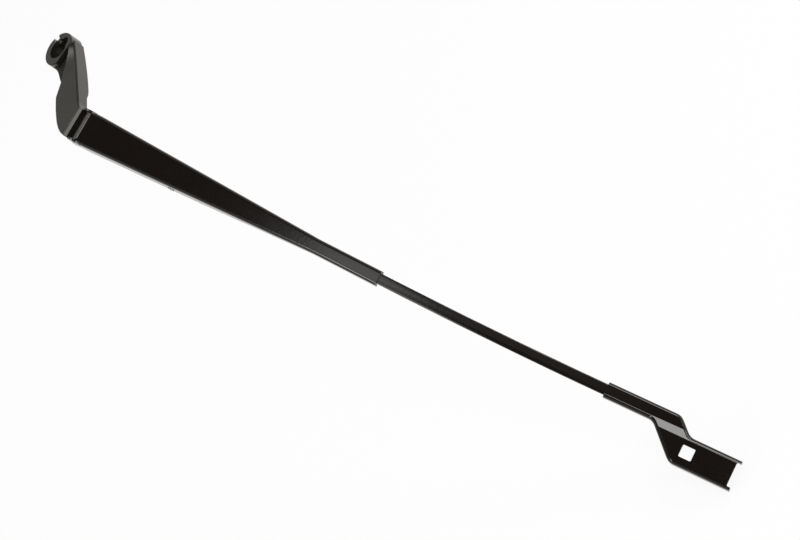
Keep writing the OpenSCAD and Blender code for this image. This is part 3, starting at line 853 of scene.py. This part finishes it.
def mount(piece: bpy.types.Object, node: str, body: str, finish: str,
          finishes: Finishes) -> bpy.types.Object:
    """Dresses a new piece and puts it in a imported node's place.

    Args:
        piece: The new piece.
        node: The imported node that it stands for.
        body: The body that it rides on.
        finish: The finish's name, which is the record's slot too.
        finishes: The finishes to dress it from.

    Returns:
        The piece.
    """
    bpy.context.collection.objects.link(piece)
    finishes.put(piece, finish)
    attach(piece, body)
    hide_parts(node)
    log.info("built %s on %s, in %s", piece.name, body, finish)
    return piece


class Assembly(ABC):
    """A sub-assembly of the arm, whose pieces are built and dressed in order."""

    @abstractmethod
    def pieces(self) -> list[RefinedPiece]:
        """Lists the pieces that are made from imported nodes."""

    def build(self, nodes: dict[str, bpy.types.Object], finishes: Finishes) -> None:
        """Builds and dresses the assembly.

        Args:
            nodes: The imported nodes' objects, by name.
            finishes: The finishes to dress it from.
        """
        for piece in self.pieces():
            piece.build(nodes[piece.node], finishes)


@dataclass
class HeadAssembly(Assembly):
    """Cast head that is bolted to the spindle, with the hook link's pin.

    Attributes:
        casting_edge: Rounding of the casting's edges.
        pin_edge: Rounding of the pin's ends.
        front: Facet along the leg's front edge, over the hinge.
    """

    casting_edge: float = 0.5 * MM
    pin_edge: float = 0.15 * MM
    front: Facet = Facet(back=60.2 * MM, front=62.2 * MM, top=0.52 * MM, bottom=-1.98 * MM)

    def pieces(self) -> list[RefinedPiece]:
        """Lists the casting and the link pin.

        Returns:
            The pieces, in order.
        """
        casting, pin = EdgeFinish(self.casting_edge), EdgeFinish(self.pin_edge)
        return [
            RefinedPiece("head", "head_casting", "head", "head_coat", casting, (self.front,)),
            RefinedPiece("link_pin", "link_pin_turned", "head", "pin_steel", pin),
        ]


@dataclass
class ArmAssembly(Assembly):
    """Retainer, rod strip and blade connector, with the pins and washers that they carry.

    Attributes:
        sheet_edge: Rounding of the pressed pieces' cut edges.
        strip_edge: Rounding of the rod strip's edges.
        strip_sharp_from: Angle from which an edge of the rod strip counts as sharp, in degrees.
        pin_edge: Rounding under the pins' domed heads.
        washer_edge: Rounding of the washers' rims.
    """

    sheet_edge: float = 0.2 * MM
    strip_edge: float = 0.1 * MM
    strip_sharp_from: float = 50.0
    pin_edge: float = 0.1 * MM
    washer_edge: float = 0.1 * MM

    def pieces(self) -> list[RefinedPiece]:
        """Lists the pins, the washers and the three long pieces.

        Returns:
            The pieces, in order.
        """
        sheet, pin = EdgeFinish(self.sheet_edge), EdgeFinish(self.pin_edge)
        washer = EdgeFinish(self.washer_edge)
        strip = EdgeFinish(self.strip_edge, sharp_from=self.strip_sharp_from)
        return [
            RefinedPiece("hinge_pin", "hinge_rivet", "arm", "pin_steel", pin),
            RefinedPiece("washer_left", "thrust_washer_left", "arm", "washer_plastic", washer),
            RefinedPiece("washer_right", "thrust_washer_right", "arm", "washer_plastic", washer),
            RefinedPiece("anchor_pin", "anchor_rivet", "arm", "pin_steel", pin),
            RefinedPiece("retainer", "retainer_pressing", "arm", "arm_coat", sheet),
            RefinedPiece("rod", "rod_strip", "arm", "arm_coat", strip),
            RefinedPiece("connector", "connector_pressing", "arm", "arm_coat", sheet),
        ]


def middle_of(node: str) -> Vector:
    """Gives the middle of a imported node's box."""
    return sum(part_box(node), Vector()) / 2


@dataclass
class TensionSpring:
    """Tension spring drawn as one round wire, from the hook link's eye to the anchor pin.

    Its own line runs from the link pin (0) to the anchor pin.

    Attributes:
        wire: Diameter of the wire.
        coil: Outer diameter of the coil.
        pitch: Distance from one turn to the next.
        turns: Number of turns.
        coil_from: Where the coil starts.
        eye_at: Middle of the half turn in the link's eye.
        eye_r: Radius of that half turn.
        eye_angles: Angles of the points on it, in degrees.
        loop_r: Radius of the loop round the anchor pin, to the middle of the wire.
        loop_angles: Angles of the points on it, in degrees.
        loop_lead: How far before the anchor pin the wire is straight, below the loop.
        eye_pull: How far the wire runs straight on from the half turn, as the bend's handle.
        coil_in: Handle of the bend into the coil, from the coil's start.
        coil_out: Handle of the bend out of the coil, from the coil's end.
        level_after: How far past the coil the second handle of that bend lies.
        steps: Points in one turn.
    """

    wire: float = 1.8 * MM
    coil: float = 8.2 * MM
    pitch: float = 1.96 * MM
    turns: float = 26.5
    coil_from: float = 28.17 * MM
    eye_at: float = 17.17 * MM
    eye_r: float = 2.9 * MM
    eye_angles: range = range(110, 271, 8)
    loop_r: float = 3.0 * MM
    loop_angles: range = range(270, 521, 10)
    loop_lead: float = 1.0 * MM
    eye_pull: float = 3.0 * MM
    coil_in: Point = (-2.5 * MM, 0.0, -2.5 * MM)
    coil_out: Point = (0.6 * MM, 0.0, -3.0 * MM)
    level_after: float = 2.2 * MM
    steps: int = 24

    def bend(self, ends: tuple[Vector, Vector, Vector, Vector], count: int = 8) -> list[Vector]:
        """Gives the inner points of a smooth bend between two points.

        Args:
            ends: Start, its handle, the end's handle and the end.
            count: Number of steps along it.

        Returns:
            The points, without both ends.
        """
        shares = [step / count for step in range(1, count)]
        weights = [((1 - t) ** 3, 3 * t * (1 - t) ** 2, 3 * t * t * (1 - t), t ** 3) for t in shares]
        return [sum((point * weight for point, weight in zip(ends, row)), Vector()) for row in weights]

    def path(self, length: float) -> list[Vector]:
        """Gives the wire's middle line, in its own frame.

        Args:
            length: Distance from the link pin to the anchor pin.

        Returns:
            Points with X along the spring and Y across the arm.
        """
        mean = (self.coil - self.wire) / 2
        hook = [Vector((self.eye_at + self.eye_r * math.cos(a), -self.eye_r * math.sin(a), 0))
                for a in map(math.radians, self.eye_angles)]
        eye = Vector((self.eye_at, self.eye_r, 0))
        first = Vector((self.coil_from, mean, 0))
        lead = self.bend((eye, eye + Vector((self.eye_pull, 0, 0)), first + Vector(self.coil_in), first))
        coil = []
        for step in range(int(self.turns * self.steps) + 1):
            turn = step / self.steps
            angle = 2 * math.pi * turn
            coil.append(Vector((self.coil_from + self.pitch * turn, mean * math.cos(angle),
                                mean * math.sin(angle))))
        last = coil[-1]
        out = self.bend((last, last + Vector(self.coil_out),
                         Vector((last.x + self.level_after, 0, -self.loop_r)),
                         Vector((length - self.loop_lead, 0, -self.loop_r))))
        loop = [Vector((length + self.loop_r * math.cos(a), 0, self.loop_r * math.sin(a)))
                for a in map(math.radians, self.loop_angles)]
        return hook + lead + coil + out + loop

    def build(self, finishes: Finishes) -> bpy.types.Object:
        """Draws the spring between the two pins.

        Args:
            finishes: The finishes to dress it from.

        Returns:
            The spring.
        """
        from_pin, to_pin = middle_of("link_pin"), middle_of("anchor_pin")
        line = to_pin - from_pin
        along, across = line.normalized(), Vector((0, 1, 0))
        turn = Matrix((along, across, along.cross(across))).transposed()
        points = [from_pin + turn @ point for point in self.path(line.length)]
        curve = bpy.data.curves.new("tension_spring", "CURVE")
        curve.dimensions = "3D"
        curve.bevel_depth = self.wire / 2
        curve.bevel_resolution = 3
        curve.use_fill_caps = True
        spline = curve.splines.new("POLY")
        spline.points.add(len(points) - 1)
        for spot, point in zip(spline.points, points):
            spot.co = (*point, 1)
        spline.use_smooth = True
        spring = bpy.data.objects.new("tension_spring", curve)
        return mount(spring, "spring", "link", "spring_steel", finishes)


@dataclass
class LinkAssembly(Assembly):
    """Hook link, blanked from strip, and the spring that pulls on it.

    Attributes:
        blank_edge: Rounding of the link's blanked edges.
        spring: The spring.
    """

    blank_edge: float = 0.25 * MM
    spring: TensionSpring = field(default_factory=TensionSpring)

    def pieces(self) -> list[RefinedPiece]:
        """Lists the link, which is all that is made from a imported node."""
        return [RefinedPiece("hook_link", "hook_blank", "link", "link_steel", EdgeFinish(self.blank_edge))]

    def build(self, nodes: dict[str, bpy.types.Object], finishes: Finishes) -> None:
        """Builds and dresses the link, then the spring.

        Args:
            nodes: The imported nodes' objects, by name.
            finishes: The finishes to dress it from.
        """
        super().build(nodes, finishes)
        self.spring.build(finishes)


def main() -> None:
    """Builds the studio, then the arm's assemblies in order."""
    logging.basicConfig(level=logging.INFO, format="%(message)s")
    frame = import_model()
    bpy.context.scene.view_settings.view_transform = "Standard"
    solid_low, solid_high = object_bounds()
    Studio().build(solid_low, solid_high)
    finishes = Finishes()
    for assembly in (HeadAssembly(), ArmAssembly(), LinkAssembly()):
        assembly.build(frame["nodes"], finishes)


if __name__ == "__main__":
    main()
